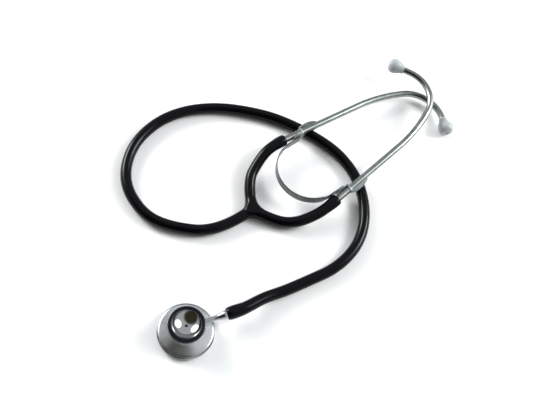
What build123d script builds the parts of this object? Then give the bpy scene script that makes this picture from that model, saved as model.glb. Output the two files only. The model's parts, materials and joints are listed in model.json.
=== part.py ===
"""Dual-head stethoscope lying on a table, diaphragm down and bell up.

Millimetres. The origin is the centre of the diaphragm's outer face, +Z is up, and the chestpiece's
stem points along +X. Left and right are seen from above by someone looking along +X.
"""

from math import cos, pi, radians, sin, tan
import os

from build123d import *

os.makedirs("parts", exist_ok=True)

# Chestpiece, turned about the Z axis
diaphragm_ring_od = 46.0
diaphragm_ring_height = 5.4
diaphragm_ring_lip = 0.6
diaphragm_visible_radius = 19.6
diaphragm_thickness = 0.4
diaphragm_radius = 21.4
gasket_width = 1.4
gasket_thickness = 0.5
housing_radius = 21.8
chamber_depth = 1.3
back_height = 9.0
neck_radius = 8.8
neck_top = 14.2
bell_ring_od = 29.2
bell_ring_top = 22.2
bell_ring_height = 2.0
bell_ring_lip = 0.6
bell_ring_flat = (12.4, 13.6)
bell_lip_radius = 15.0
bell_mouth_radius = 11.4
bell_bowl_depth = 5.6
bell_hole_radius = 1.3

# Stem, turned about the X axis at this height
stem_height = 11.0
stem_inner_end = -6.0
stem_journal_radius = 2.96
stem_bore_radius = 3.0
stem_collar_radius = 3.45
stem_collar_start = 4.1
stem_collar_end = 5.3
stem_neck_radius = 2.75
stem_waist_radius = 2.05
stem_neck_end = 15.5
stem_waist_x = 23.5
stem_flare_radius = 3.7
stem_shoulder_x = 34.0
barb_root_radius = 2.3
barb_crest_radius = 2.75
barb_length = 14.0
barb_count = 3
sound_bore_radius = 1.1
o_ring_groove_radius = 2.05
o_ring_thickness = 0.92
o_ring_groove_half = 0.55
o_ring_positions = (-2.6, 2.6)
detent_x = -4.8
detent_ball_radius = 1.0
detent_depth = 0.45
detent_screw_radius = 1.57
detent_screw_start = 6.2
detent_screw_end = 7.2
detent_coil_radius = 0.65
detent_wire_radius = 0.15
detent_coil_turns = 3
gland_thread_radius = 4.0
gland_inner_x = 5.4
gland_seat_x = 10.2
gland_flange = 2.2
gland_across_flats = 8.6
gland_spot_radius = 5.2

# Tubing
hose_od = 9.6
hose_bore = 4.8
hose_radius = hose_od / 2
yoke_centre = (88.4, 82.2)
yoke_main = {"azimuth": 195.0, "slope": 0.0, "reach": 12.0}
yoke_left = {"azimuth": 77.0, "slope": 5.0, "reach": 11.0}
yoke_right = {"azimuth": -47.5, "slope": 1.5, "reach": 9.0}
yoke_hub_radius = 5.6

# Headset: two arms that lean towards each other, mirrored about an axis in the XY plane
headset_centre = (160.3, 102.6)
headset_azimuth = 16.2
arm_lean = 5.4
arm_half_spacing = 34.8
clip_station = 5.5
left_clip_height = 13.7
right_clip_height = 12.3
left_arm_slope = -2.8
right_arm_slope = 3.2
left_hose_end = -18.0
right_hose_end = -15.0

# Ear tubes and tips
ear_tube_radius = 3.0
ear_tube_wall = 0.5
ear_tube_straight = 65.6
ear_tube_bow_radius = 151.0
ear_tube_bow_turn = 18.6
ear_tube_bend_radius = 30.3
ear_tube_bend_turn = 92.7
left_ear_tube_past_bend = 1.5
right_ear_tube_past_bend = 6.0
ear_tube_in_hose = 9.0
ear_tube_in_tip = 9.0
ferrule_radius = 3.6
ferrule_start = 2.5
ferrule_length = 5.0
tip_length = 15.8
tip_radius = 7.1
tip_neck_radius = 3.9
tip_hole_radius = 1.3

# Leaf spring and the clips at its ends
spring_thickness = 1.0
spring_width = 8.0
spring_height = 12.8
spring_bend_radius = 30.2
spring_bend_station = -11.2
spring_end_station = 0.9
spring_waist_station = -16.5
spring_waist_depth = 1.3
spring_waist_radius = 7.0
clip_thickness = 0.8
clip_clearance = 0.04
clip_sleeve_length = 2.0
clip_inner_plate = 11.0
clip_inner_bend = 4.5
clip_outer_plate = 20.0
clip_outer_tilt = 35.0
clip_outer_depth = 3.1
clip_outer_rise = 2.0
clip_plate_half = 6.0
clip_corner_radius = 1.5


def save(solid, name):
    solid.label = name
    export_step(solid, f"parts/{name}.step")


def upright_face(outline):
    """Flat face in the XZ plane from (x, z) corners."""
    return make_face(Polyline(*[(x, 0, z) for x, z in outline], close=True))


def turned(outline):
    """Solid of revolution about Z from (radius, z) corners."""
    return revolve(upright_face(outline), Axis.Z, 360)


def along_x(solid):
    """Lay a solid made about Z down along +X, at the stem's height."""
    return Pos(0, 0, stem_height) * Rot(0, 90, 0) * solid


def rod(radius, start, end):
    """Cylinder about the Z axis between two heights."""
    return Pos(0, 0, (start + end) / 2) * Cylinder(radius, end - start)


# ---------------------------------------------------------------- chestpiece

gasket_top = diaphragm_thickness + gasket_thickness
ring_inner_radius = housing_radius + 0.03
diaphragm_ring = turned(
    [
        (diaphragm_visible_radius, 0.12),
        (diaphragm_ring_od / 2 - 1.0, 0.12),
        (diaphragm_ring_od / 2, 1.2),
        (diaphragm_ring_od / 2, 2.2),
        (diaphragm_ring_od / 2 - 0.35, 2.5),
        (diaphragm_ring_od / 2, 2.8),
        (diaphragm_ring_od / 2, diaphragm_ring_height - 0.9),
        (diaphragm_ring_od / 2 - 0.9, diaphragm_ring_height),
        (ring_inner_radius, diaphragm_ring_height),
        (ring_inner_radius, diaphragm_thickness + 0.02),
        (diaphragm_radius + 0.02, diaphragm_thickness + 0.02),
        (diaphragm_radius + 0.02, 0.24),
        (diaphragm_visible_radius, 0.24),
    ]
)
# The disc is held at its rim by the ring and stands out through it to the origin plane.
diaphragm = turned(
    [
        (0, 0),
        (diaphragm_visible_radius - 0.3, 0),
        (diaphragm_visible_radius - 0.02, 0.26),
        (diaphragm_radius, 0.26),
        (diaphragm_radius, diaphragm_thickness),
        (0, diaphragm_thickness),
    ]
)
diaphragm_gasket = turned(
    [
        (diaphragm_radius - gasket_width, diaphragm_thickness),
        (diaphragm_radius, diaphragm_thickness),
        (diaphragm_radius, gasket_top),
        (diaphragm_radius - gasket_width, gasket_top),
    ]
)

bowl_radius = (bell_mouth_radius**2 + bell_bowl_depth**2) / (2 * bell_bowl_depth)
bell_rim_z = bell_ring_top - bell_ring_lip
bell_seat_z = bell_ring_top - bell_ring_height
body = turned(
    [
        (0, gasket_top + chamber_depth + 1.2),
        (diaphragm_radius - gasket_width - 0.6, gasket_top + 0.8),
        (diaphragm_radius - gasket_width - 0.2, gasket_top),
        (housing_radius, gasket_top),
        (housing_radius, diaphragm_ring_height),
        (housing_radius - 0.8, diaphragm_ring_height + 0.5),
        (neck_radius + 1.4, back_height - 0.5),
        (neck_radius, back_height + 0.7),
        (neck_radius, neck_top),
        (neck_radius + 0.9, neck_top + 1.4),
        (bell_lip_radius - 1.8, bell_seat_z - 2.0),
        (bell_lip_radius - 0.6, bell_seat_z - 1.3),
        (bell_lip_radius, bell_seat_z - 0.8),
        (bell_lip_radius, bell_seat_z - 0.15),
        (bell_lip_radius - 0.15, bell_seat_z),
        (bell_mouth_radius + 1.1, bell_seat_z),
        (bell_mouth_radius + 1.1, bell_rim_z),
        (0, bell_rim_z),
    ]
)
bowl_centre_z = bell_rim_z - bell_bowl_depth + bowl_radius
body -= Pos(0, 0, bowl_centre_z) * Sphere(bowl_radius)
body += along_x(rod(gland_thread_radius + 0.9, 0, gland_seat_x)) & rod(
    gland_seat_x + 5, gasket_top + chamber_depth + 2, bell_seat_z - 2
)
# Stem bore, from the blind end to the gland thread
body -= along_x(rod(stem_bore_radius, stem_inner_end - 0.3, stem_collar_start))
body -= along_x(
    rod(stem_collar_radius + 0.05, stem_collar_start - 0.05, gland_inner_x)
)
body -= along_x(rod(gland_thread_radius + 0.03, gland_inner_x, gland_seat_x + 6))
body -= along_x(rod(gland_spot_radius, gland_seat_x, gland_seat_x + gland_flange + 1))
# Sound ways to the bell and to the diaphragm chamber
body -= rod(bell_hole_radius, stem_height, bell_rim_z)
body -= rod(bell_hole_radius, gasket_top, stem_height)
# Bore for the ball and its spring, closed by a screw on the -Y side
ball_offset = stem_journal_radius - detent_depth + detent_ball_radius


def across_y(solid):
    """Lay a solid made about Z along -Y, at the ball's place."""
    return Pos(detent_x, 0, stem_height) * Rot(90, 0, 0) * solid


body -= across_y(rod(detent_ball_radius + 0.05, stem_bore_radius - 0.5, neck_radius + 3))
body -= across_y(rod(detent_screw_radius + 0.03, detent_screw_start, neck_radius + 3))
detent_ball = across_y(Pos(0, 0, ball_offset) * Sphere(detent_ball_radius))
coil_start = ball_offset + detent_ball_radius - 0.03
coil_height = detent_screw_start - detent_wire_radius - coil_start
coil = Helix(coil_height / detent_coil_turns, coil_height, detent_coil_radius)
coil_profile = Plane(origin=coil @ 0, z_dir=coil % 0) * Circle(detent_wire_radius)
detent_spring = across_y(Pos(0, 0, coil_start) * sweep(coil_profile, path=coil))
hex_socket = extrude(RegularPolygon(detent_screw_radius / 2, 6), 1)
detent_screw = rod(detent_screw_radius, detent_screw_start, detent_screw_end)
detent_screw = across_y(detent_screw - Pos(0, 0, detent_screw_end - 0.2) * hex_socket)

ring_inner = bell_mouth_radius + 0.1
ring_outer = bell_ring_od / 2
ring_start, ring_end = bell_ring_flat
crown_drop = 0.9
inner_round = ThreePointArc(
    (ring_inner, 0, bell_rim_z),
    (ring_inner + 0.25, 0, bell_ring_top - 0.2),
    (ring_start, 0, bell_ring_top),
)
outer_round = ThreePointArc(
    (ring_end, 0, bell_ring_top),
    (ring_outer - 0.28, 0, bell_ring_top - 0.32),
    (ring_outer, 0, bell_ring_top - crown_drop),
)
ring_underside = Polyline(
    outer_round @ 1,
    (ring_outer, 0, bell_seat_z + 0.5),
    (ring_outer - 0.3, 0, bell_seat_z + 0.02),
    (bell_mouth_radius + 1.1, 0, bell_seat_z + 0.02),
    (bell_mouth_radius + 1.1, 0, bell_rim_z),
    inner_round @ 0,
)
ring_top = Line(inner_round @ 1, outer_round @ 0)
bell_ring = revolve(make_face(inner_round + ring_top + outer_round + ring_underside), Axis.Z, 360)

# ---------------------------------------------------------------- stem

stem_outline = [
    (0, stem_inner_end),
    (stem_journal_radius - 0.3, stem_inner_end),
    (stem_journal_radius, stem_inner_end + 0.3),
]
for station in o_ring_positions:
    stem_outline += [
        (stem_journal_radius, station - o_ring_groove_half),
        (o_ring_groove_radius, station - o_ring_groove_half),
        (o_ring_groove_radius, station + o_ring_groove_half),
        (stem_journal_radius, station + o_ring_groove_half),
    ]
stem_outline += [
    (stem_journal_radius, stem_collar_start),
    (stem_collar_radius, stem_collar_start),
    (stem_collar_radius, stem_collar_end),
    (stem_neck_radius, stem_collar_end),
    (stem_neck_radius, stem_neck_end),
    (stem_waist_radius + 0.25, stem_waist_x - 3.5),
    (stem_waist_radius, stem_waist_x),
    (stem_waist_radius + 0.35, stem_waist_x + 3.0),
    (stem_flare_radius - 0.4, stem_shoulder_x - 3.8),
    (stem_flare_radius, stem_shoulder_x - 2.2),
    (stem_flare_radius, stem_shoulder_x - 0.3),
    (stem_flare_radius - 0.3, stem_shoulder_x),
    (barb_root_radius, stem_shoulder_x),
]
barb_pitch = (barb_length - 2) / barb_count
for barb in range(barb_count):
    barb_start = stem_shoulder_x + 2 + barb * barb_pitch
    stem_outline += [
        (barb_root_radius, barb_start),
        (barb_crest_radius, barb_start + 0.2),
        (barb_root_radius, barb_start + barb_pitch - 0.4),
    ]
stem_outline += [(barb_root_radius - 0.4, stem_shoulder_x + barb_length)]
stem_outline += [(0, stem_shoulder_x + barb_length)]
stem = turned(stem_outline)
groove = Pos(0, 0, detent_x) * Torus(ball_offset, detent_ball_radius + 0.04)
stem -= groove
stem -= rod(sound_bore_radius, -1.2, stem_shoulder_x + barb_length + 1)
stem = along_x(stem)
stem -= rod(sound_bore_radius, stem_height - 5, stem_height)
o_rings = {}
for name, station in zip(("stem_o_ring_inner", "stem_o_ring_outer"), o_ring_positions):
    o_ring = Torus(o_ring_groove_radius + o_ring_thickness / 2 + 0.01, o_ring_thickness / 2)
    o_rings[name] = along_x(Pos(0, 0, station) * o_ring)

gland_hex = extrude(RegularPolygon(gland_across_flats / 2, 6, major_radius=False), gland_flange)
gland_nut = rod(gland_thread_radius, gland_inner_x, gland_seat_x)
gland_nut += Pos(0, 0, gland_seat_x) * gland_hex
gland_nut -= rod(stem_neck_radius + 0.06, gland_inner_x - 1, gland_seat_x + 5)
gland_nut = along_x(gland_nut)

# ---------------------------------------------------------------- headset frames

headset = Plane(
    origin=(*headset_centre, 0),
    x_dir=(cos(radians(headset_azimuth)), sin(radians(headset_azimuth)), 0),
    z_dir=(0, 0, 1),
).location


def arm_frame(side, height, slope):
    """Frame of one arm: x along its straight tube to the ear, z up, origin where the clip crosses.

    side is +1 for the left arm and -1 for the right one.
    """
    offset = side * (arm_half_spacing - clip_station * tan(radians(arm_lean)))
    crossing = headset * Pos(clip_station, offset, height)
    return crossing * Rot(0, 0, -side * arm_lean) * Rot(0, -slope, 0)


def tube_solid(path, radius, bore):
    """Tube of a round section along a path of lines and arcs."""
    section = Plane(origin=path @ 0, z_dir=path % 0)
    return sweep(section * Circle(radius), path=path) - sweep(section * Circle(bore), path=path)


def along_arm(solid):
    """Lay a solid made about Z down along an arm's x axis."""
    return Rot(0, 90, 0) * solid


def ear_tube_path(inward, hose_end, past_bend):
    """Axis of an ear tube in its arm's frame: straight, then a slight bow, then the bend."""
    run = Line((hose_end - ear_tube_in_hose, 0, 0), (ear_tube_straight, 0, 0))
    bow = JernArc(run @ 1, run % 1, ear_tube_bow_radius, inward * ear_tube_bow_turn)
    bend = JernArc(bow @ 1, bow % 1, ear_tube_bend_radius, inward * ear_tube_bend_turn)
    end = Line(bend @ 1, bend @ 1 + (bend % 1) * (past_bend + ear_tube_in_tip))
    return Wire([*run.edges(), *bow.edges(), *bend.edges(), *end.edges()])


def make_ear_tip():
    """Hollow ear tip about Z, with its neck at z = 0 and room for the tube and its ferrule."""
    side = Spline(
        (tip_neck_radius, 0, 0),
        (tip_radius * 0.78, 0, tip_length * 0.31),
        (tip_radius, 0, tip_length * 0.66),
        (tip_radius * 0.84, 0, tip_length * 0.88),
        (tip_hole_radius + 1.0, 0, tip_length),
    )
    tube_room = ear_tube_radius + 0.03
    ferrule_room = ferrule_radius + 0.03
    inside = Polyline(
        side @ 1,
        (tip_hole_radius, 0, tip_length),
        (tip_hole_radius, 0, ear_tube_in_tip + 0.2),
        (tube_room, 0, ear_tube_in_tip + 0.2),
        (tube_room, 0, ferrule_start + ferrule_length + 0.05),
        (ferrule_room, 0, ferrule_start + ferrule_length + 0.05),
        (ferrule_room, 0, ferrule_start - 0.05),
        (tube_room, 0, ferrule_start - 0.05),
        (tube_room, 0, 0),
        side @ 0,
    )
    return revolve(make_face(side + inside), Axis.Z, 360)


def sheet_along(corners, face):
    """Upright sheet that follows (x, y) corners, cut to the outline of a face in the XZ plane."""
    line = Polyline(*[(x, y, 0) for x, y in corners])
    band = extrude(trace(line, clip_thickness), 2 * clip_plate_half, both=True)
    return band & extrude(face, 2 * clip_outer_plate, both=True)


def make_clip():
    """Sheet clip round an ear tube that runs along x, with the other arm on its +y side.

    One plate backs the leaf spring on the inner side. The other, a curved wing, leans out on the
    outer side. They meet at a short sleeve. The left and right clips are the same part, and the
    left one is turned over.
    """
    offset = ear_tube_radius + clip_clearance + clip_thickness / 2
    back_offset = offset + (clip_inner_plate - clip_inner_bend) * tan(radians(arm_lean))
    inner_face = upright_face(
        [
            (-clip_inner_plate, -0.8 * clip_plate_half),
            (-clip_inner_bend - 2, -clip_plate_half),
            (0.8, -0.7 * clip_plate_half),
            (0.8, 0.7 * clip_plate_half),
            (-clip_inner_bend - 2, clip_plate_half),
            (-clip_inner_plate, 0.8 * clip_plate_half),
        ]
    )
    inner_face = inner_face.face().fillet_2d(clip_corner_radius, inner_face.vertices())
    inner = sheet_along(
        [(-clip_inner_plate - 1, back_offset), (-clip_inner_bend, offset), (1, offset)], inner_face
    )
    wing_start = (0.4, 0, -clip_outer_depth / 2)
    wing_edge = ThreePointArc(
        wing_start, (0.3 * clip_outer_plate, 0, -clip_outer_depth), (clip_outer_plate, 0, 0)
    )
    wing_top = Polyline(
        (clip_outer_plate, 0, 0),
        (clip_outer_plate - 3, 0, clip_outer_rise),
        (0.4, 0, clip_outer_rise),
        wing_start,
    )
    wing = sheet_along([(0, 0), (clip_outer_plate, 0)], make_face(wing_edge + wing_top))
    wing = Pos(0, -offset, 0) * Rot(-clip_outer_tilt, 0, 0) * wing
    sleeve_radius = offset + clip_thickness / 2
    sleeve = along_arm(rod(sleeve_radius, -clip_sleeve_length / 2, clip_sleeve_length / 2))
    tube_way = along_arm(
        rod(ear_tube_radius + clip_clearance, -2 * clip_inner_plate, 2 * clip_outer_plate)
    )
    return inner + wing + sleeve - tube_way


clip = make_clip()
left_frame = arm_frame(1, left_clip_height, left_arm_slope)
right_frame = arm_frame(-1, right_clip_height, right_arm_slope)
headset_nodes = {}
for side_name, arm, inward, hose_end, past_bend in (
    ("left", left_frame, -1, left_hose_end, left_ear_tube_past_bend),
    ("right", right_frame, 1, right_hose_end, right_ear_tube_past_bend),
):
    tube_path = ear_tube_path(inward, hose_end, past_bend)
    ear_tube = tube_solid(tube_path, ear_tube_radius, ear_tube_radius - ear_tube_wall)
    tip_direction = tube_path % 1
    tip_neck = tube_path @ 1 - tip_direction * ear_tube_in_tip
    tip_place = Plane(origin=tip_neck, z_dir=tip_direction).location
    ferrule = rod(ferrule_radius, ferrule_start, ferrule_start + ferrule_length)
    ferrule -= rod(ear_tube_radius + 0.02, 0, tip_length)
    headset_nodes[f"{side_name}_clip"] = arm * Rot(90 - 90 * inward, 0, 0) * clip
    headset_nodes[f"{side_name}_ear_tube"] = arm * ear_tube
    headset_nodes[f"{side_name}_ferrule"] = arm * tip_place * ferrule
    headset_nodes[f"{side_name}_ear_tip"] = arm * tip_place * make_ear_tip()

# ---------------------------------------------------------------- leaf spring

spring_corner = spring_bend_station - spring_bend_radius
spring_path = FilletPolyline(
    (spring_end_station, spring_bend_radius, 0),
    (spring_corner, spring_bend_radius, 0),
    (spring_corner, -spring_bend_radius, 0),
    (spring_end_station, -spring_bend_radius, 0),
    radius=spring_bend_radius * 0.999,
)
leaf_spring = extrude(trace(spring_path, spring_thickness), spring_width / 2, both=True)
waist_reach = spring_width / 2 + spring_waist_radius - spring_waist_depth
waist_cutter = Rot(90, 0, 0) * Cylinder(spring_waist_radius, 3 * spring_bend_radius)
for z in (waist_reach, -waist_reach):
    leaf_spring -= Pos(spring_waist_station, 0, z) * waist_cutter
leaf_spring = headset * Pos(0, 0, spring_height) * leaf_spring

# ---------------------------------------------------------------- tubing


def largest_radii(points):
    """Arc radius at each inner point of a route: as large as its two runs allow."""
    radii = []
    for before, here, after in zip(points, points[1:], points[2:]):
        run_in = Vector(*here) - Vector(*before)
        run_out = Vector(*after) - Vector(*here)
        half_turn = radians(run_in.get_angle(run_out)) / 2
        radii.append(0.45 * min(run_in.length, run_out.length) / tan(half_turn))
    return radii


def hose(name, points):
    """Hollow hose along a route, with its radii and volume printed."""
    radii = largest_radii(points)
    path = FilletPolyline(*points, radius=radii)
    solid = tube_solid(path, hose_radius, hose_bore / 2)
    expected = pi * (hose_radius**2 - (hose_bore / 2) ** 2) * path.length
    print(
        f"{name}: length {path.length:.1f}, radii {[round(r) for r in radii]},",
        f"volume {solid.volume:.0f}, section x length {expected:.0f}",
    )
    return solid


def along_yoke(arm, further=0.0):
    """World point at the end of a yoke arm, or further out on its axis."""
    reach = arm["reach"] + further
    azimuth, slope = radians(arm["azimuth"]), radians(arm["slope"])
    return (
        yoke_centre[0] + reach * cos(slope) * cos(azimuth),
        yoke_centre[1] + reach * cos(slope) * sin(azimuth),
        hose_radius + reach * sin(slope),
    )


def on_arm(frame, x):
    """World point on an arm's tube axis."""
    return tuple((frame * Pos(x, 0, 0)).position)


on_table = hose_radius
main_route = [
    along_yoke(yoke_main),
    along_yoke(yoke_main, 26),
    (17, 88.6, on_table),
    (-1.6, 108, on_table),
    (-7.5, 141.6, on_table),
    (8.7, 172.6, on_table),
    (37.2, 190.6, on_table),
    (66.6, 195.1, on_table),
    (97.1, 189.2, on_table),
    (126.2, 174.6, on_table),
    (147.8, 158.9, on_table),
    (172.7, 130.9, on_table),
    (186.5, 105.2, on_table),
    (190.1, 74.9, on_table),
    (181.1, 44.3, on_table),
    (163.4, 22.1, on_table),
    (137, 9.2, on_table),
    (111, 6.7, on_table),
    (87.1, 4.7, on_table),
    (68.5, 4.2, 7.5),
    (50, 0, stem_height),
    (stem_shoulder_x + 0.05, 0, stem_height),
]
left_last_run = 15.0
right_last_run = 14.0
left_route = [
    along_yoke(yoke_left),
    along_yoke(yoke_left, 16),
    (108.6, 121.8, 11),
    on_arm(left_frame, left_hose_end - left_last_run),
    on_arm(left_frame, left_hose_end),
]
right_route = [
    along_yoke(yoke_right),
    along_yoke(yoke_right, 13.9),
    (117.5, 58.6, 6.6),
    (132.8, 58, 8.6),
    on_arm(right_frame, right_hose_end - right_last_run),
    on_arm(right_frame, right_hose_end),
]
main_hose = hose("main_hose", main_route)
left_branch = hose("left_branch_hose", left_route)
right_branch = hose("right_branch_hose", right_route)
# Where the hard tubes are pushed in, the bore is stretched to them.
barb_end = stem_shoulder_x + barb_length
main_hose -= along_x(rod(barb_crest_radius + 0.03, stem_shoulder_x - 1, barb_end + 0.5))
socket = along_arm(rod(ear_tube_radius + 0.03, -ear_tube_in_hose - 0.3, 1))
left_branch -= left_frame * Pos(left_hose_end, 0, 0) * socket
right_branch -= right_frame * Pos(right_hose_end, 0, 0) * socket

hub = Vector(*yoke_centre, hose_radius)
yoke = Pos(*hub) * Sphere(yoke_hub_radius)
yoke &= Pos(*hub) * Box(3 * hose_od, 3 * hose_od, hose_od)
yoke_arms = (yoke_main, yoke_left, yoke_right)


def yoke_rod(arm, radius, extra=0.0):
    """Cylinder from the yoke's centre out along one of its arms."""
    turned_out = Rot(0, 0, arm["azimuth"]) * Rot(0, 90 - arm["slope"], 0)
    return Pos(*hub) * turned_out * rod(radius, 0, arm["reach"] + extra)


for arm in yoke_arms:
    yoke += yoke_rod(arm, hose_radius)
for arm in yoke_arms:
    yoke -= yoke_rod(arm, hose_bore / 2, 1)

# ---------------------------------------------------------------- write the nodes

nodes = {
    "chestpiece_body": body,
    "bell_ring": bell_ring,
    "diaphragm": diaphragm,
    "diaphragm_ring": diaphragm_ring,
    "diaphragm_gasket": diaphragm_gasket,
    "gland_nut": gland_nut,
    "detent_ball": detent_ball,
    "detent_spring": detent_spring,
    "detent_screw": detent_screw,
    "stem": stem,
    **o_rings,
    "main_hose": main_hose,
    "yoke": yoke,
    "left_branch_hose": left_branch,
    "right_branch_hose": right_branch,
    "leaf_spring": leaf_spring,
    **headset_nodes,
}
for node_name, node in nodes.items():
    save(node, node_name)
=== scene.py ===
"""Looks of a dual-head stethoscope lying on a pale table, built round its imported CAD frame."""

import json
import math

import bmesh
import bpy
import numpy as np
from mathutils import Matrix, Vector


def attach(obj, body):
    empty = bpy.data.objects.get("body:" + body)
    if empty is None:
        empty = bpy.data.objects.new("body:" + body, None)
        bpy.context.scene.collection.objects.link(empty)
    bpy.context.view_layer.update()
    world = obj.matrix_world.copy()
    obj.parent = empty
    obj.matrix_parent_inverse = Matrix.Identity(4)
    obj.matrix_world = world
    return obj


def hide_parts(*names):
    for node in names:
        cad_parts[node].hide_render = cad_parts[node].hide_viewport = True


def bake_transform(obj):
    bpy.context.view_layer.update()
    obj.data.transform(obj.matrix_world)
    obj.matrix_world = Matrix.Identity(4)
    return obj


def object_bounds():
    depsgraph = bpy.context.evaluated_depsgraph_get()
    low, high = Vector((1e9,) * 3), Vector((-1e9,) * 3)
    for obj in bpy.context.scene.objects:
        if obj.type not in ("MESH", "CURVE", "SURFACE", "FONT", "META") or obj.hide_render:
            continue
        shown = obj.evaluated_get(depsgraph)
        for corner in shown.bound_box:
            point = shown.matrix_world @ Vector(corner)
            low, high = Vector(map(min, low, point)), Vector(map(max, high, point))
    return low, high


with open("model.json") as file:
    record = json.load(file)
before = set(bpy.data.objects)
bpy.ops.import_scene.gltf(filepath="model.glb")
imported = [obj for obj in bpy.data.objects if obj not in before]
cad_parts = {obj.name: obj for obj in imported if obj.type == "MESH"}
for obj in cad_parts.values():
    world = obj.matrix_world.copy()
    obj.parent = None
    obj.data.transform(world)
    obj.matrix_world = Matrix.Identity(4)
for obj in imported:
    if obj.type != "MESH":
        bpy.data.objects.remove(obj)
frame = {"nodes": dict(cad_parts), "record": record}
cad_low, cad_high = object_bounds()
nodes = frame["nodes"]

# ------------------------------------------------------------------ materials


class Material:
    """A node material whose helpers place procedural detail in metres on the object."""

    def __init__(self, name, **inputs):
        self.material = bpy.data.materials.new(name)
        self.material.use_nodes = True
        self.tree = self.material.node_tree
        self.shader = self.tree.nodes["Principled BSDF"]
        for socket, value in inputs.items():
            self.shader.inputs[socket.replace("_", " ")].default_value = value
        self.place = self.node("ShaderNodeTexCoord").outputs["Object"]
        self.normal = None

    def node(self, kind, inputs=(), **settings):
        made = self.tree.nodes.new(kind)
        for key, value in settings.items():
            setattr(made, key, value)
        for socket, value in dict(inputs).items():
            self.set(made.inputs[socket], value)
        return made

    def set(self, socket, value):
        if isinstance(value, bpy.types.NodeSocket):
            self.tree.links.new(value, socket)
        else:
            socket.default_value = value

    def noise(self, size, detail=3.0, stretch=None, distortion=0.0):
        """Noise whose features are about size metres across."""
        place = self.place
        if stretch:
            place = self.node(
                "ShaderNodeMapping", {"Vector": place, "Scale": stretch}
            ).outputs["Vector"]
        texture = self.node(
            "ShaderNodeTexNoise",
            {"Vector": place, "Scale": 1 / size, "Detail": detail, "Distortion": distortion},
        )
        return texture.outputs["Fac"]

    def rings(self, pitch):
        """Concentric turning marks round the object's Z axis."""
        texture = self.node(
            "ShaderNodeTexWave",
            {"Vector": self.place, "Scale": math.pi / 10 / pitch, "Distortion": 0.6},
            wave_type="RINGS",
            rings_direction="Z",
        )
        return texture.outputs["Fac"]

    def spread(self, value, low, high, start=0.3, end=0.7):
        """Map a texture's values from start..end to low..high."""
        mapped = self.node(
            "ShaderNodeMapRange",
            {"Value": value, "From Min": start, "From Max": end, "To Min": low, "To Max": high},
        )
        return mapped.outputs["Result"]

    def mix(self, share, first, second):
        """Blend two colours by a share."""
        mixed = self.node("ShaderNodeMix", data_type="RGBA")
        self.set(mixed.inputs[0], share)
        self.set(mixed.inputs[6], first)
        self.set(mixed.inputs[7], second)
        return mixed.outputs[2]

    def maths(self, operation, first, second=0.0):
        made = self.node("ShaderNodeMath", operation=operation)
        self.set(made.inputs[0], first)
        self.set(made.inputs[1], second)
        return made.outputs[0]

    def axis(self, letter):
        return self.node("ShaderNodeSeparateXYZ", {"Vector": self.place}).outputs[letter]

    def bump(self, height, distance, strength=1.0):
        """Add a bump of that depth in metres to the surface."""
        made = self.node(
            "ShaderNodeBump", {"Height": height, "Distance": distance, "Strength": strength}
        )
        if self.normal:
            self.set(made.inputs["Normal"], self.normal)
        self.normal = made.outputs["Normal"]
        self.link("Normal", self.normal)

    def link(self, socket, value):
        self.set(self.shader.inputs[socket], value)


DUST_COLOUR = (0.20, 0.20, 0.21, 1)
DUST_DULLS = 0.5
SCRATCH_DULLS = 0.25


def moulded(name, dark, light, rough, dust=0.0, **inputs):
    """Moulded rubber or PVC: slow gloss changes, a fine skin and a few specks of dust."""
    made = Material(name, **inputs)
    slow = made.noise(0.011, 4.0)
    fine = made.noise(0.0005, 4.0)
    colour = made.mix(made.spread(slow, 0.0, 1.0), (*dark, 1), (*light, 1))
    speck = made.spread(made.noise(0.0013, 2.0), 0.0, dust, 0.66, 0.76)
    made.link("Base Color", made.mix(speck, colour, DUST_COLOUR))
    gloss = made.spread(made.noise(0.004, 5.0, distortion=0.4), rough[0], rough[1])
    dulled = made.maths("MULTIPLY", speck, DUST_DULLS)
    made.link("Roughness", made.maths("ADD", gloss, dulled))
    made.bump(slow, 0.00010, 0.5)
    made.bump(fine, 0.000006, 0.4)
    return made.material


def metal(name, colour, tint, rough, grain=(0.0004, None), scratch=0.3, **inputs):
    """Plated or bare metal with rubbed patches, fine scratches and a slight colour drift."""
    made = Material(name, Metallic=1.0, **inputs)
    patches = made.noise(0.009, 5.0, distortion=0.8)
    grain_size, stretch = grain
    lines = made.noise(grain_size, 3.0, stretch=stretch)
    hairs = made.noise(0.0012, 6.0, stretch=(1.0, 0.06, 0.4), distortion=1.2)
    hair_mask = made.spread(hairs, 0.0, scratch, 0.60, 0.68)
    made.link("Base Color", made.mix(made.spread(patches, 0.0, 1.0), (*colour, 1), (*tint, 1)))
    rubbed = made.spread(patches, rough[0], rough[1])
    dulled = made.maths("MULTIPLY", hair_mask, SCRATCH_DULLS)
    made.link("Roughness", made.maths("ADD", rubbed, dulled))
    made.bump(lines, 0.000006, 0.5)
    made.bump(hair_mask, 0.000004, 0.5)
    return made.material


SOUND_HOLE_RADIUS = 0.00131
# Near-black colour painted as shade inside the sound bore.
SOUND_HOLE_PAINTED_SHADE = (0.03, 0.03, 0.03, 1)
SATIN_TOP, PLATE_BOTTOM = 0.0099, 0.0103


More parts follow.
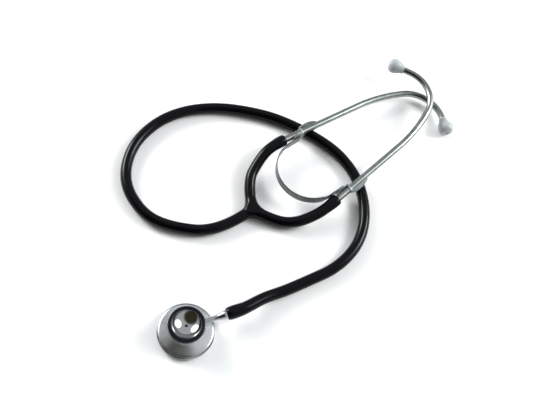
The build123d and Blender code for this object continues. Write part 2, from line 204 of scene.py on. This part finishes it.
def chestpiece_metal():
    """Polished plate in the bell and on the neck, with a satin turned cone on the back and
    painted shade down the sound bore.
    """
    made = Material("plated_body", Metallic=1.0, Anisotropic=0.75)
    round_z = made.node("ShaderNodeTangent", direction_type="RADIAL", axis="Z")
    made.link("Tangent", round_z.outputs["Tangent"])
    above = made.spread(made.axis("Z"), 0.0, 1.0, SATIN_TOP, PLATE_BOTTOM)
    patches = made.noise(0.012, 3.0, distortion=0.2)
    satin = made.mix(
        made.spread(patches, 0.0, 1.0), (0.46, 0.475, 0.49, 1), (0.58, 0.595, 0.61, 1)
    )
    plated = made.mix(above, satin, (0.52, 0.53, 0.54, 1))
    flat = made.node(
        "ShaderNodeVectorMath", {0: made.place, 1: (1, 1, 0)}, operation="MULTIPLY"
    )
    radius = made.node("ShaderNodeVectorMath", {0: flat.outputs[0]}, operation="LENGTH")
    # Painted shade: inside the sound bore's radius the base colour turns near black, standing in
    # for the shade down the hole.
    painted_shade_in_bore = made.maths("LESS_THAN", radius.outputs["Value"], SOUND_HOLE_RADIUS)
    made.link("Base Color", made.mix(painted_shade_in_bore, plated, SOUND_HOLE_PAINTED_SHADE))
    satin_rough = made.spread(patches, 0.20, 0.27)
    shine_rough = made.spread(made.noise(0.002, 6.0), 0.05, 0.11)
    drop = made.maths("MULTIPLY", made.maths("SUBTRACT", shine_rough, satin_rough), above)
    made.link("Roughness", made.maths("ADD", satin_rough, drop))
    below = made.maths("SUBTRACT", 1.0, above)
    made.bump(made.maths("MULTIPLY", made.rings(0.00045), below), 0.000005, 0.5)
    made.bump(made.noise(0.003, 3.0), 0.000004, 0.5)
    return made.material


WEAVE_SCALE = 314.0


def woven_sheet():
    """Glass-epoxy disc: a pale sheet with its cloth weave just showing."""
    made = Material("diaphragm_sheet", Roughness=0.35, Coat_Weight=0.3, Coat_Roughness=0.15)
    across, along = (
        made.node(
            "ShaderNodeTexWave",
            {"Vector": made.place, "Scale": WEAVE_SCALE},
            bands_direction=letter,
        ).outputs["Fac"]
        for letter in "XY"
    )
    weave = made.maths("MULTIPLY", across, along)
    made.link("Base Color", made.mix(weave, (0.66, 0.66, 0.60, 1), (0.80, 0.80, 0.76, 1)))
    made.bump(weave, 0.00002, 0.5)
    return made.material


def tip_plastic():
    """Grey moulded plastic, a little cloudy, with a fine skin from its mould."""
    made = Material(
        "tip_plastic",
        Subsurface_Weight=0.25,
        Subsurface_Radius=(0.004, 0.004, 0.0045),
        Subsurface_Scale=0.4,
    )
    cloud = made.noise(0.006, 4.0)
    made.link(
        "Base Color",
        made.mix(made.spread(cloud, 0.0, 1.0), (0.38, 0.405, 0.42, 1), (0.45, 0.475, 0.485, 1)),
    )
    made.link("Roughness", made.spread(made.noise(0.0012, 4.0), 0.30, 0.46))
    made.bump(made.noise(0.0007, 3.0), 0.00002, 0.6)
    return made.material


BLACK_PVC = moulded(
    "black_pvc", (0.0015, 0.0015, 0.002), (0.003, 0.003, 0.0045), (0.09, 0.14), dust=0.03,
    IOR=1.24,
)
RING_RUBBER = moulded(
    "ring_rubber", (0.002, 0.002, 0.006), (0.004, 0.004, 0.010), (0.20, 0.30), dust=0.03,
    IOR=1.30,
)
SEAL_RUBBER = moulded("seal_rubber", (0.020, 0.020, 0.020), (0.035, 0.035, 0.035), (0.5, 0.7))
PLATED_RING = metal(
    "plated_ring", (0.40, 0.42, 0.43), (0.52, 0.54, 0.55), (0.10, 0.18), scratch=0.1
)
PLATED_BRASS = metal(
    "plated_brass", (0.44, 0.46, 0.47), (0.56, 0.58, 0.59), (0.12, 0.20), scratch=0.1
)
EAR_TUBE_PLATE = metal(
    "ear_tube_plate", (0.25, 0.27, 0.26), (0.34, 0.365, 0.35), (0.18, 0.27),
    grain=(0.0008, (0.15, 1.0, 1.0)), scratch=0.05,
)
CLIP_STEEL = metal(
    "clip_steel", (0.25, 0.27, 0.27), (0.36, 0.38, 0.38), (0.40, 0.52),
    grain=(0.0005, (0.2, 1.0, 1.0)), scratch=0.2,
)
SPRING_STEEL = metal(
    "spring_steel", (0.085, 0.095, 0.095), (0.15, 0.165, 0.165), (0.30, 0.40),
    grain=(0.0005, (1.0, 1.0, 0.12)), scratch=0.2,
)
BEARING_STEEL = metal("bearing_steel", (0.52, 0.53, 0.54), (0.62, 0.62, 0.62), (0.1, 0.2))
FERRULE_BRASS = metal("ferrule_brass", (0.62, 0.48, 0.24), (0.76, 0.61, 0.35), (0.18, 0.3))
PLATED_BODY = chestpiece_metal()
DIAPHRAGM_SHEET = woven_sheet()
TIP_PLASTIC = tip_plastic()

by_slot = {
    "plated_body": PLATED_BODY,
    "plated_ring": PLATED_RING,
    "plated_brass": PLATED_BRASS,
    "ear_tube_plate": EAR_TUBE_PLATE,
    "clip_steel": CLIP_STEEL,
    "spring_steel": SPRING_STEEL,
    "bearing_steel": BEARING_STEEL,
    "ferrule_brass": FERRULE_BRASS,
    "black_pvc": BLACK_PVC,
    "ring_rubber": RING_RUBBER,
    "seal_rubber": SEAL_RUBBER,
    "diaphragm_sheet": DIAPHRAGM_SHEET,
    "tip_plastic": TIP_PLASTIC,
}
for part in frame["record"]["subparts"]:
    node = nodes[part["node"]]
    node.data.materials.clear()
    node.data.materials.append(by_slot[part["material_slot"]])


def show(name, mesh, material):
    """Put a finished mesh in the scene, smooth, with its material."""
    mesh.materials.append(material)
    mesh.polygons.foreach_set("use_smooth", [True] * len(mesh.polygons))
    piece = bpy.data.objects.new(name, mesh)
    bpy.context.scene.collection.objects.link(piece)
    return piece


def skin_between(name, mesh, loops):
    """Mesh data of the strips of faces between neighbouring loops of points."""
    count = len(loops[0])
    for loop, following in zip(loops, loops[1:]):
        for i in range(count):
            j = (i + 1) % count
            mesh.faces.new((loop[i], loop[j], following[j], following[i]))
    bmesh.ops.recalc_face_normals(mesh, faces=mesh.faces)
    data = bpy.data.meshes.new(name)
    mesh.to_mesh(data)
    mesh.free()
    return data


# ------------------------------------------------------------------ hoses

HOSE_RADIUS = 0.0048
ON_TABLE = HOSE_RADIUS
STEM_HEIGHT = 0.011

# Control points of the hoses. On the stem, a fourth number is the hose's thickness there,
# as a share of the rest.
main_points = [
    (0.03405, 0.0, STEM_HEIGHT, 0.90),
    (0.0345, 0.0, STEM_HEIGHT, 1.03),
    (0.0370, 0.0, STEM_HEIGHT, 1.14),
    (0.0430, 0.0, STEM_HEIGHT, 1.15),
    (0.0500, 0.0, STEM_HEIGHT, 1.04),
    (0.0685, 0.0042, 0.0075),
    (0.0871, 0.0047, ON_TABLE),
    (0.1110, 0.0067, ON_TABLE),
    (0.1370, 0.0092, ON_TABLE),
    (0.1634, 0.0221, ON_TABLE),
    (0.1811, 0.0443, ON_TABLE),
    (0.1901, 0.0749, ON_TABLE),
    (0.1865, 0.1052, ON_TABLE),
    (0.1727, 0.1309, ON_TABLE),
    (0.1478, 0.1589, ON_TABLE),
    (0.1262, 0.1746, ON_TABLE),
    (0.0971, 0.1892, ON_TABLE),
    (0.0666, 0.1951, ON_TABLE),
    (0.0372, 0.1906, ON_TABLE),
    (0.0087, 0.1726, ON_TABLE),
    (-0.0075, 0.1416, ON_TABLE),
    (-0.0016, 0.1080, ON_TABLE),
    (0.0170, 0.0886, ON_TABLE),
    (0.05170, 0.07236, ON_TABLE),
    (0.0787, 0.0796, ON_TABLE),
]
left_points = [
    (0.09042, 0.09094, 0.00559),
    (0.09445, 0.10841, 0.00715),
    (0.1086, 0.1218, 0.0110),
    (0.12364, 0.13088, 0.01531),
    (0.13836, 0.13368, 0.01458),
]
right_points = [
    (0.09313, 0.07704, 0.00499),
    (0.10387, 0.06532, 0.00540),
    (0.1175, 0.0586, 0.0066),
    (0.1328, 0.0580, 0.0086),
    (0.14822, 0.06056, 0.01068),
    (0.16122, 0.06570, 0.01146),
]


def nurbs_curve(name, points):
    """Smooth curve object through space with these points as its control points."""
    data = bpy.data.curves.new(name, "CURVE")
    data.dimensions = "3D"
    data.resolution_u = 24
    spline = data.splines.new("NURBS")
    spline.points.add(len(points) - 1)
    for point, (x, y, z, *thickness) in zip(spline.points, points):
        point.co = (x, y, z, 1.0)
        point.radius = thickness[0] if thickness else 1.0
    spline.order_u = 3
    spline.use_endpoint_u = True
    curve = bpy.data.objects.new(name, data)
    bpy.context.scene.collection.objects.link(curve)
    return curve


def centreline(points):
    """Points along the smooth curve, read from its spline."""
    curve = nurbs_curve("guide", points)
    bpy.context.view_layer.update()
    mesh = bpy.data.meshes.new_from_object(curve)
    line = [vertex.co.copy() for vertex in mesh.vertices]
    bpy.data.objects.remove(curve)
    bpy.data.meshes.remove(mesh)
    return line


def tube(name, line, thickness_at, mouth, sides=40):
    """Mesh tube along a line; thickness_at gives its radius by distance from the far end,
    and mouth is the list of (distance back, radius) rings that close the far end."""
    steps = [(b - a).length for a, b in zip(line, line[1:])]
    to_go = [sum(steps[i:]) for i in range(len(line))]
    directions = [(b - a).normalized() for a, b in zip(line, line[1:])]
    directions = [directions[0]] + [
        (a + b).normalized() for a, b in zip(directions, directions[1:])
    ] + [directions[-1]]
    side = directions[0].cross(Vector((0, 0, 1))).normalized()
    rings = []
    for centre, along, rest in zip(line, directions, to_go):
        side = (side - along * side.dot(along)).normalized()
        if rest > mouth[0][0]:
            rings.append((centre, side, along, thickness_at(rest)))
    for back, radius in mouth:
        rings.append((line[-1] - directions[-1] * back, side, directions[-1], radius))
    mesh = bmesh.new()
    loops = []
    for centre, side, along, radius in rings:
        up = side.cross(along)
        loops.append(
            [
                mesh.verts.new(centre + radius * (side * math.cos(a) + up * math.sin(a)))
                for a in (2 * math.pi * i / sides for i in range(sides))
            ]
        )
    return skin_between(name, mesh, loops)


main_hose = nurbs_curve("main_hose_skin", main_points)
main_hose.data.bevel_depth = HOSE_RADIUS
main_hose.data.bevel_resolution = 12
main_hose.data.use_fill_caps = True
main_hose.data.materials.append(BLACK_PVC)
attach(main_hose, "tubing")
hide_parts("main_hose")

BRANCH_SWELL = 0.00038
SWELL_PLACE = 0.0045
SWELL_REACH = 0.0055


def branch_thickness(rest):
    """Radius of a branch by distance from its mouth, swollen where the ear tube is inside."""
    return HOSE_RADIUS + BRANCH_SWELL * math.exp(-(((rest - SWELL_PLACE) / SWELL_REACH) ** 2))


branch_mouth = [
    # distance back from the mouth, and the radius there
    (0.0012, HOSE_RADIUS + 0.00024),
    (0.0006, HOSE_RADIUS + 0.00012),
    (0.00022, HOSE_RADIUS - 0.00008),
    (0.00004, HOSE_RADIUS - 0.00040),
    (0.0, HOSE_RADIUS - 0.00080),
    (0.0, 0.00300),
]
branches = {}
for name, points in (("left", left_points), ("right", right_points)):
    line = centreline(points)
    mesh = tube(f"{name}_branch_skin", line, branch_thickness, branch_mouth)
    branch = show(f"{name}_branch_skin", mesh, BLACK_PVC)
    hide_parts(f"{name}_branch_hose")
    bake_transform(branch)
    branches[name] = (branch, line)

# ------------------------------------------------------------------ yoke

YOKE_CENTRE = Vector((0.0884, 0.0822, HOSE_RADIUS))
yoke_ends = {
    "main": Vector((0.07681, 0.07909, 0.0048)),
    "left": Vector((0.09087, 0.09288, 0.00576)),
    "right": Vector((0.09448, 0.07557, 0.00504)),
}
SKIN = HOSE_RADIUS + 0.00003
WEB_BETWEEN_BRANCHES = 0.0075
WEB_TO_MAIN = 0.0030
WEB_RISE = 0.00035
LEAST_HEIGHT = 0.00002
# The yoke's points are moved down the slope of their distance until they lie on its skin.
YOKE_VOXEL = 0.00035
SETTLING_ROUNDS = 12
SLOPE_STEP = 1e-5
LEAST_SLOPE = 0.05


def distance_to_arm(points, end):
    """Distance of points from the skin of one yoke arm, and the height of its axis there."""
    start, along = np.array(YOKE_CENTRE), np.array(end - YOKE_CENTRE)
    share = np.clip((points - start) @ along / (along @ along), 0, 1)
    nearest = start + share[:, None] * along
    return np.linalg.norm(points - nearest, axis=1) - SKIN, nearest[:, 2]


def soft_least(a, b, reach):
    """Smaller of two distances, rounded off where they are within reach of each other."""
    share = np.clip(reach - abs(a - b), 0, None) / reach
    return np.minimum(a, b) - share * share * reach / 4


def yoke_distance(points):
    """Distance of points from the skin of the whole yoke, webs included."""
    left = distance_to_arm(points, yoke_ends["left"])[0]
    right = distance_to_arm(points, yoke_ends["right"])[0]
    main = distance_to_arm(points, yoke_ends["main"])[0]
    return soft_least(soft_least(left, right, WEB_BETWEEN_BRANCHES), main, WEB_TO_MAIN)


def yoke_mesh():
    """The moulded Y: three arms that run into each other with smooth webs."""
    rough = bmesh.new()
    for end in yoke_ends.values():
        along = end - YOKE_CENTRE
        turn = along.to_track_quat("Z", "Y").to_matrix().to_4x4()
        middle = Matrix.Translation(YOKE_CENTRE + along / 2) @ turn
        bmesh.ops.create_cone(
            rough, cap_ends=True, segments=32, radius1=SKIN, radius2=SKIN,
            depth=along.length + SKIN, matrix=middle,
        )
    data = bpy.data.meshes.new("yoke_rough")
    rough.to_mesh(data)
    rough.free()
    piece = bpy.data.objects.new("yoke_rough", data)
    bpy.context.scene.collection.objects.link(piece)
    remesh = piece.modifiers.new("even", "REMESH")
    remesh.mode = "VOXEL"
    remesh.voxel_size = YOKE_VOXEL
    bpy.context.view_layer.update()
    evaluated = piece.evaluated_get(bpy.context.evaluated_depsgraph_get())
    mesh = bpy.data.meshes.new_from_object(evaluated)
    mesh.name = "yoke_skin"
    bpy.data.objects.remove(piece)
    points = np.zeros(len(mesh.vertices) * 3)
    mesh.vertices.foreach_get("co", points)
    points = points.reshape(-1, 3)
    for _ in range(SETTLING_ROUNDS):
        here = yoke_distance(points)
        slope = np.stack(
            [
                (yoke_distance(points + SLOPE_STEP * axis) - here) / SLOPE_STEP
                for axis in np.eye(3)
            ],
            axis=1,
        )
        length = np.clip((slope**2).sum(axis=1), LEAST_SLOPE, None)
        points = points - slope * (here / length)[:, None]
    # The webs stay nearly as flat as the hoses, and nothing sinks into the table.
    arms = [distance_to_arm(points, end) for end in yoke_ends.values()]
    nearest = np.argmin([distance for distance, _ in arms], axis=0)
    axis_height = np.choose(nearest, [height for _, height in arms])
    rise = points[:, 2] - axis_height
    over = np.clip(abs(rise) - SKIN, 0, None)
    points[:, 2] = axis_height + np.sign(rise) * (
        np.minimum(abs(rise), SKIN) + WEB_RISE * np.tanh(over / WEB_RISE)
    )
    points[:, 2] = np.maximum(points[:, 2], LEAST_HEIGHT)
    mesh.vertices.foreach_set("co", points.ravel())
    mesh.update()
    return mesh


yoke = show("yoke_skin", yoke_mesh(), BLACK_PVC)
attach(yoke, "tubing")
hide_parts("yoke")

for name, length in (("left", 0.0682), ("right", 0.0739)):
    branch, line = branches[name]

# ------------------------------------------------------------------ leaf spring

HEADSET_CENTRE = Vector((0.1603, 0.1026, 0.0))
HEADSET_TURN = Matrix.Rotation(math.radians(16.2), 4, "Z")
SPRING_BEND = 0.0302
SPRING_STRAIGHT_START = 0.0009
SPRING_BEND_STATION = -0.0112
SPRING_HEIGHT = 0.0128
SPRING_HALF_WIDTH = 0.004
SPRING_HALF_THICKNESS = 0.0005
SPRING_EDGE = 0.00022
SPRING_EDGE_CUT = 0.29 * SPRING_EDGE
SPRING_STRAIGHT_STEPS = 24
SPRING_BEND_STEPS = 96
WAIST_STATION = -0.0165
WAIST_RADIUS = 0.007
WAIST_DEPTH = 0.0013


def in_world(station, across, height):
    """World point from a station along the headset's axis and an offset across it."""
    return HEADSET_CENTRE + HEADSET_TURN @ Vector((station, across, height))


def spring_line(side):
    """(station, offset, inward normal) from one arm's end to the middle of the bend."""
    places = []
    straight = SPRING_BEND_STATION - SPRING_STRAIGHT_START
    for i in range(SPRING_STRAIGHT_STEPS):
        station = SPRING_STRAIGHT_START + straight * i / SPRING_STRAIGHT_STEPS
        places.append((station, SPRING_BEND, (0.0, -1.0)))
    for i in range(SPRING_BEND_STEPS + 1):
        angle = math.radians(90) * i / SPRING_BEND_STEPS
        out = (-math.sin(angle), math.cos(angle))
        places.append(
            (
                SPRING_BEND_STATION + SPRING_BEND * out[0],
                SPRING_BEND * out[1],
                (-out[0], -out[1]),
            )
        )
    return [(s, side * t, (n[0], side * n[1])) for s, t, n in places]


def spring_half(name, side):
    """Half of the leaf spring as a strip with rounded edges and a waist."""
    half, edge, cut = SPRING_HALF_THICKNESS, SPRING_EDGE, SPRING_EDGE_CUT
    mesh = bmesh.new()
    loops = []
    for station, across, normal in spring_line(side):
        off = abs(station - WAIST_STATION)
        notch = 0.0
        if off < WAIST_RADIUS:
            centre = WAIST_RADIUS - WAIST_DEPTH
            notch = max(0.0, math.sqrt(WAIST_RADIUS**2 - off**2) - centre)
        width = SPRING_HALF_WIDTH - notch
        section = []
        for sign_n, sign_z in ((1, 1), (-1, 1), (-1, -1), (1, -1)):
            corner = [(half, width - edge), (half - cut, width - cut), (half - edge, width)]
            if sign_n * sign_z < 0:
                corner.reverse()
            section += [(sign_n * n, sign_z * z) for n, z in corner]
        loops.append(
            [
                mesh.verts.new(
                    in_world(
                        station + n * normal[0], across + n * normal[1], SPRING_HEIGHT + z
                    )
                )
                for n, z in section
            ]
        )
    mesh.faces.new(loops[0])
    data = skin_between(name, mesh, loops)
    piece = show(name, data, SPRING_STEEL)
    sharpen = piece.modifiers.new("edges", "WEIGHTED_NORMAL")
    sharpen.keep_sharp = True
    return piece


for name, side in (("left", 1), ("right", -1)):
    half = spring_half(f"{name}_spring_half", side)
    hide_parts("leaf_spring")
    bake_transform(half)

# ------------------------------------------------------------------ table, light and camera

TABLE_HALF = 60
TABLE_GAP = 0.00005

floor_mesh = bpy.data.meshes.new("table")
corners = [(x * TABLE_HALF, y * TABLE_HALF, 0) for x, y in ((-1, -1), (1, -1), (1, 1), (-1, 1))]
floor_mesh.from_pydata(corners, [], [(0, 1, 2, 3)])
floor = bpy.data.objects.new("table", floor_mesh)
floor.location.z = min(0.0, cad_low.z) - TABLE_GAP
bpy.context.scene.collection.objects.link(floor)
paper = Material("table_white", Roughness=0.6)
paper.link(
    "Base Color",
    paper.mix(paper.noise(0.15, 2.0), (0.94, 0.94, 0.94, 1), (0.96, 0.96, 0.96, 1)),
)
floor_mesh.materials.append(paper.material)

WINDOW = Vector((-0.46, 0.78, 0.44)).normalized()
REFLECTOR = Vector((0.80, -0.15, 0.56)).normalized()
SHADED_SIDE = Vector((-0.60, -0.40, 0.69)).normalized()

# The studio is dim at the horizon and brighter overhead, with a soft glow round each lamp
# and one shaded side. The heights are on a sphere of radius 1.
WALL_FOOT, WALL_TOP = 0.03, 0.32
WALL_DIM, WALL_BRIGHT = 0.10, 0.62
SHADE_LEFT = 0.08
LAMP_GLOW = 5.0
COOL_WHITE = (0.95, 0.98, 1.0, 1)
WARM_SHADE = (1.0, 0.86, 0.50, 1)

world = bpy.data.worlds.new("studio")
world.use_nodes = True
room = world.node_tree
sky = room.nodes["Background"]
direction = room.nodes.new("ShaderNodeTexCoord").outputs["Generated"]


def eased(value, start, end, low, high):
    """Map a value from start..end to low..high with soft ends."""
    made = room.nodes.new("ShaderNodeMapRange")
    made.interpolation_type = "SMOOTHSTEP"
    room.links.new(value, made.inputs["Value"])
    sockets = ("From Min", "From Max", "To Min", "To Max")
    for socket, number in zip(sockets, (start, end, low, high)):
        made.inputs[socket].default_value = number
    return made.outputs["Result"]


def round_patch(centre, full, edge, low, high):
    """Value that is high within full degrees of a direction and low past edge degrees."""
    facing = room.nodes.new("ShaderNodeVectorMath")
    facing.operation = "DOT_PRODUCT"
    facing.inputs[1].default_value = centre
    room.links.new(direction, facing.inputs[0])
    outside, inside = math.cos(math.radians(edge)), math.cos(math.radians(full))
    return eased(facing.outputs["Value"], outside, inside, low, high)


def combined(operation, first, second):
    made = room.nodes.new("ShaderNodeMath")
    made.operation = operation
    room.links.new(first, made.inputs[0])
    room.links.new(second, made.inputs[1])
    return made.outputs[0]


height = room.nodes.new("ShaderNodeSeparateXYZ")
room.links.new(direction, height.inputs["Vector"])
walls = eased(height.outputs["Z"], WALL_FOOT, WALL_TOP, WALL_DIM, WALL_BRIGHT)
walls = combined("MULTIPLY", walls, round_patch(SHADED_SIDE, 34, 52, 1.0, SHADE_LEFT))
glow = combined(
    "ADD",
    round_patch(WINDOW, 8, 26, 0.0, LAMP_GLOW),
    round_patch(REFLECTOR, 8, 26, 0.0, LAMP_GLOW),
)
tint = room.nodes.new("ShaderNodeMix")
tint.data_type = "RGBA"
tint.inputs[6].default_value = COOL_WHITE
tint.inputs[7].default_value = WARM_SHADE
room.links.new(round_patch(SHADED_SIDE, 22, 50, 0.0, 1.0), tint.inputs[0])
room.links.new(tint.outputs[2], sky.inputs["Color"])
room.links.new(combined("ADD", walls, glow), sky.inputs["Strength"])
bpy.context.scene.world = world
bpy.context.scene.view_settings.view_transform = "Standard"

MIDDLE = Vector((0.13, 0.09, 0.0))
LAMP_DISTANCE = 1.4
LAMP_WIDTH, LAMP_DEPTH = 0.50, 0.40


def softbox(name, toward, power):
    """Rectangular soft light in that direction, turned to the middle of the object."""
    light = bpy.data.lights.new(name, "AREA")
    light.shape = "RECTANGLE"
    light.size, light.size_y = LAMP_WIDTH, LAMP_DEPTH
    light.energy = power
    lamp = bpy.data.objects.new(name, light)
    lamp.location = MIDDLE + LAMP_DISTANCE * toward
    lamp.rotation_mode = "QUATERNION"
    lamp.rotation_quaternion = (-toward).to_track_quat("-Z", "Y")
    bpy.context.scene.collection.objects.link(lamp)


softbox("window", WINDOW, 11)
softbox("reflector", REFLECTOR, 9)

CAMERA_PLACE = (-0.07944, -0.16504, 0.59776)
CAMERA_RIGHT = (0.9211, -0.3676, 0.1283)
CAMERA_UP = (0.2771, 0.8504, 0.4473)
CAMERA_BACK = (-0.2735, -0.3765, 0.8851)

camera_data = bpy.data.cameras.new("camera")
camera_data.sensor_width = 36.0
camera_data.lens = 52.14
camera_data.clip_start, camera_data.clip_end = 0.01, 20.0
camera = bpy.data.objects.new("camera", camera_data)
turn = Matrix((CAMERA_RIGHT, CAMERA_UP, CAMERA_BACK)).transposed().to_4x4()
camera.matrix_world = Matrix.Translation(CAMERA_PLACE) @ turn
bpy.context.scene.collection.objects.link(camera)
bpy.context.scene.camera = camera

bpy.context.view_layer.update()
